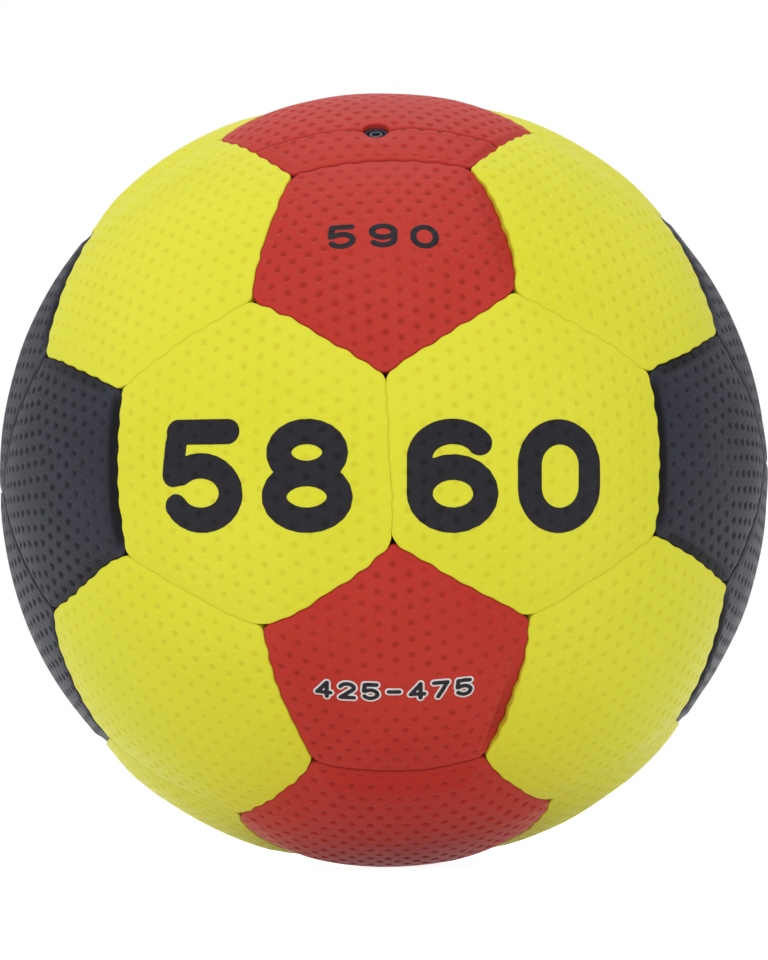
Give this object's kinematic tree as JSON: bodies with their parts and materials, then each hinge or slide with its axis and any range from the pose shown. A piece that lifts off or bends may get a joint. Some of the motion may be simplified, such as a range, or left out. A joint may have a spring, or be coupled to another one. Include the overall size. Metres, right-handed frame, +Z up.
{
  "type": "handball",
  "caption": "Stitched ball of five- and six-sided panels in red, yellow and charcoal, dimpled and foam-backed, with a needle valve.",
  "frame": {"origin": "centre of the ball", "axes": "+Z up through the middle of a seam between two red hexagons, -Y towards the two large upright yellow hexagons, +X to the right seen from there; every axis is a two-fold axis of the panel layout"},
  "size_m": [0.1868, 0.1868, 0.1868],
  "materials": {
    "yellow_cover": "matt dimpled synthetic leather, fluorescent yellow",
    "red_cover": "matt dimpled synthetic leather, red",
    "charcoal_cover": "matt dimpled synthetic leather, charcoal",
    "foam": "soft cream foam with a cloth back",
    "thread": "waxed polyester thread",
    "cloth": "woven cloth",
    "bladder_rubber": "matt rubber",
    "valve_rubber": "satin dark blue-grey rubber"
  },
  "bodies": {
    "root": {"pentagon_front_upper": "red_cover", "pentagon_front_lower": "red_cover", "pentagon_back_upper": "red_cover", "pentagon_back_lower": "red_cover", "pentagon_left_front": "charcoal_cover", "pentagon_left_back": "charcoal_cover", "pentagon_right_front": "charcoal_cover", "pentagon_right_back": "charcoal_cover", "pentagon_top_left": "yellow_cover", "pentagon_top_right": "yellow_cover", "pentagon_bottom_left": "yellow_cover", "pentagon_bottom_right": "yellow_cover", "hexagon_top_back": "red_cover", "hexagon_bottom_front": "red_cover", "hexagon_bottom_back": "red_cover", "hexagon_left_upper": "charcoal_cover", "hexagon_left_lower": "charcoal_cover", "hexagon_right_upper": "charcoal_cover", "hexagon_right_lower": "charcoal_cover", "hexagon_front_left": "yellow_cover", "hexagon_front_right": "yellow_cover", "hexagon_back_left": "yellow_cover", "hexagon_back_right": "yellow_cover", "hexagon_corner_front_left_upper": "yellow_cover", "hexagon_corner_front_left_lower": "yellow_cover", "hexagon_corner_front_right_upper": "yellow_cover", "hexagon_corner_front_right_lower": "yellow_cover", "hexagon_corner_back_left_upper": "yellow_cover", "hexagon_corner_back_left_lower": "yellow_cover", "hexagon_corner_back_right_upper": "yellow_cover", "hexagon_corner_back_right_lower": "yellow_cover", "valve_panel": "red_cover", "pentagon_pads": "foam", "hexagon_pads": "foam", "valve_panel_pad": "foam", "pentagon_seam_thread": "thread", "hexagon_seam_thread": "thread", "bladder": "bladder_rubber", "valve_body": "valve_rubber", "valve_plug": "valve_rubber", "valve_patch": "cloth"}
  },
  "joints": []
}
